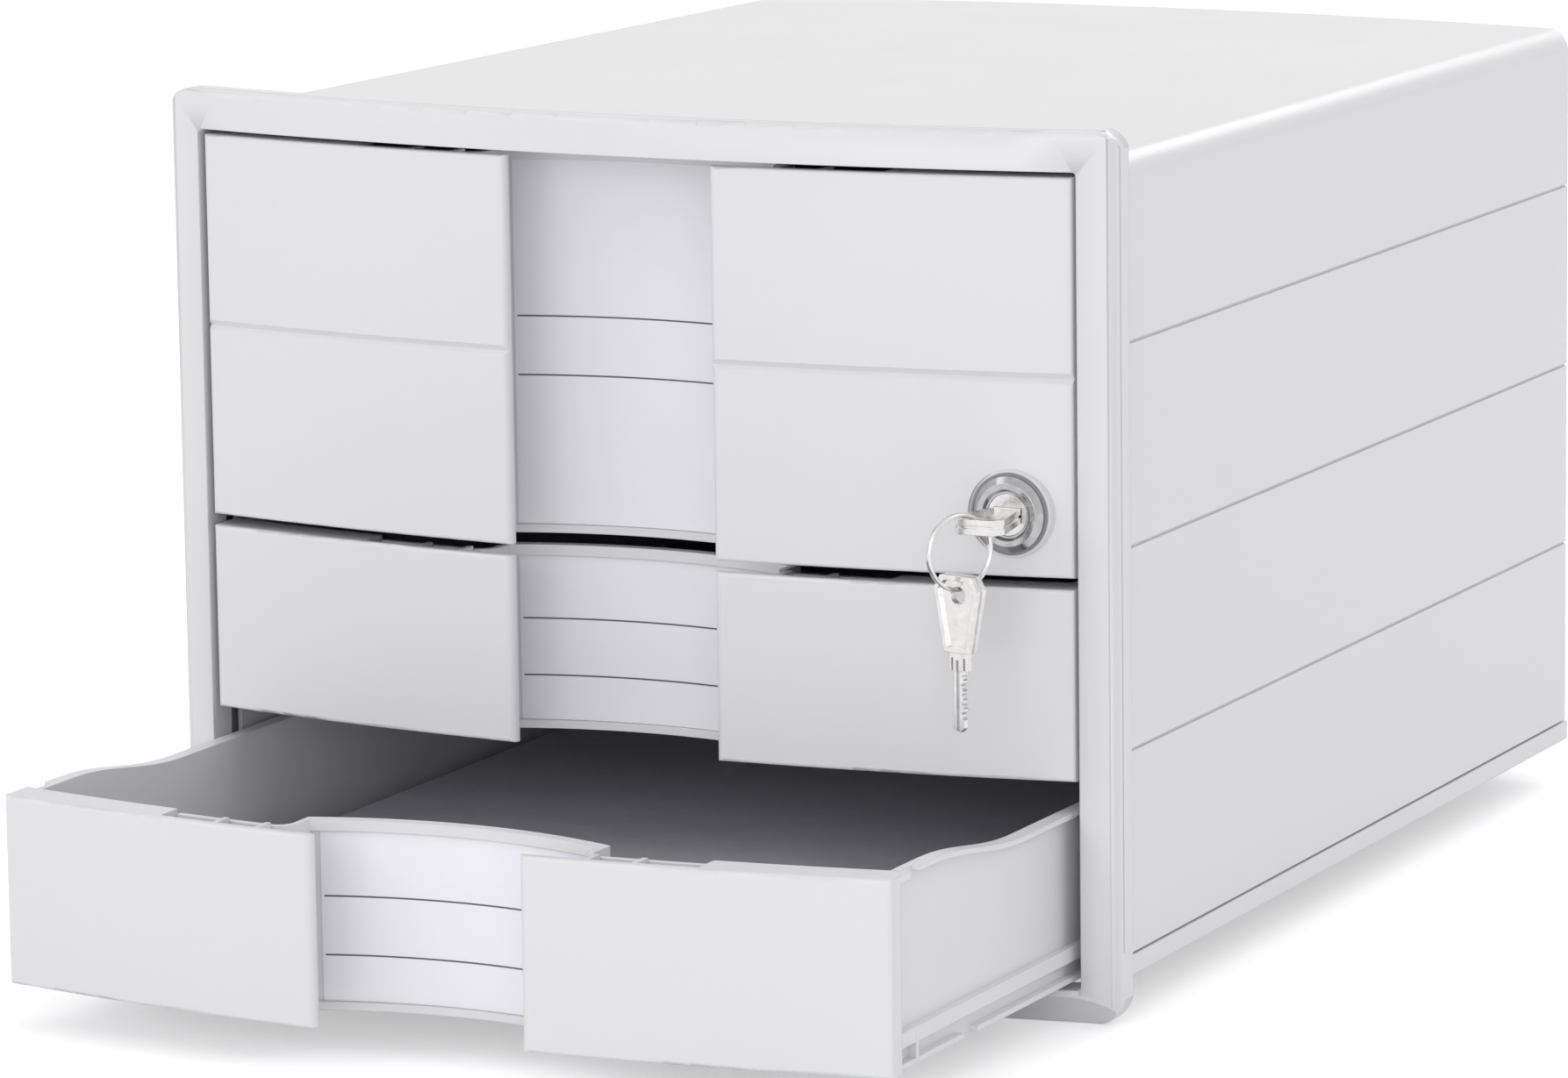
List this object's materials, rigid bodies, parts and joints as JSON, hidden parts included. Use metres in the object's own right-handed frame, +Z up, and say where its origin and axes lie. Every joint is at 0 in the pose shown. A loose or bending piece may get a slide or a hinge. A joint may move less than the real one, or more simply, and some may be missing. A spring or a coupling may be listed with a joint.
{
  "type": "desktop file drawer",
  "caption": "Desktop file drawer cabinet: bowed front frame, one double-height locking drawer and two single drawers on side runners, with labels, lock and keys.",
  "frame": {"origin": "middle of the cabinet's width on the underside of the front frame's plinth, level with the surface it stands on; y = 0 at the frame's front corners", "axes": "+X right seen from the front, +Y towards the rear, +Z up"},
  "size_m": [0.28, 0.4813, 0.2355],
  "materials": {
    "casing_plastic": "fine textured moulding",
    "drawer_plastic": "satin moulding",
    "hidden_plastic": "as moulded",
    "rubber": "matte",
    "label_card": "card",
    "label_window": "clear glossy plastic",
    "lock_metal": "bright plated",
    "zinc": "zinc plated",
    "collar_grey": "matte",
    "paper": "soft mottled sheets"
  },
  "bodies": {
    "housing": {"housing_cover": "casing_plastic", "base_pan": "casing_plastic", "rear_panel": "hidden_plastic", "front_frame": "casing_plastic", "guide_left": "hidden_plastic", "guide_right": "hidden_plastic", "rubber_feet": "rubber"},
    "double_drawer": {"double_tray": "drawer_plastic", "double_panel_left": "drawer_plastic", "double_panel_right": "drawer_plastic", "double_label_card": "label_card", "double_label_window": "label_window", "lock_collar": "collar_grey", "lock_body": "lock_metal", "lock_nut": "zinc"},
    "lock_core": {"lock_plug": "lock_metal", "lock_cam": "zinc", "cam_screw": "zinc", "key": "lock_metal"},
    "ring": {"key_ring": "lock_metal"},
    "hanging_key": {"spare_key": "lock_metal"},
    "middle_drawer": {"middle_tray": "drawer_plastic", "middle_panel_left": "drawer_plastic", "middle_panel_right": "drawer_plastic", "middle_label_card": "label_card", "middle_label_window": "label_window"},
    "bottom_drawer": {"bottom_tray": "drawer_plastic", "bottom_panel_left": "drawer_plastic", "bottom_panel_right": "drawer_plastic", "bottom_label_card": "label_card", "bottom_label_window": "label_window", "paper_stack": "paper"}
  },
  "joints": [
    {"name": "double_slide", "type": "slide", "parent": "housing", "child": "double_drawer", "axis": [0, -1, 0], "range_m": [0, 0.25]},
    {"name": "middle_slide", "type": "slide", "parent": "housing", "child": "middle_drawer", "axis": [0, -1, 0], "range_m": [0, 0.25]},
    {"name": "bottom_slide", "type": "slide", "parent": "housing", "child": "bottom_drawer", "axis": [0, -1, 0], "range_m": [-0.11, 0.14]},
    {"name": "lock_turn", "type": "hinge", "parent": "double_drawer", "child": "lock_core", "pos_m": [0.1125, 0, 0.1358], "axis": [0, 1, 0], "range_deg": [0, 90]},
    {"name": "ring_swing", "type": "hinge", "parent": "lock_core", "child": "ring", "pos_m": [0.1125, -0.0218, 0.1358], "axis": [0, 0, 1], "range_deg": [-40, 70]},
    {"name": "spare_key_swing", "type": "hinge", "parent": "ring", "child": "hanging_key", "pos_m": [0.10896, -0.02819, 0.1294], "axis": [-0.8746, 0.4848, 0], "range_deg": [-15, 90]}
  ]
}
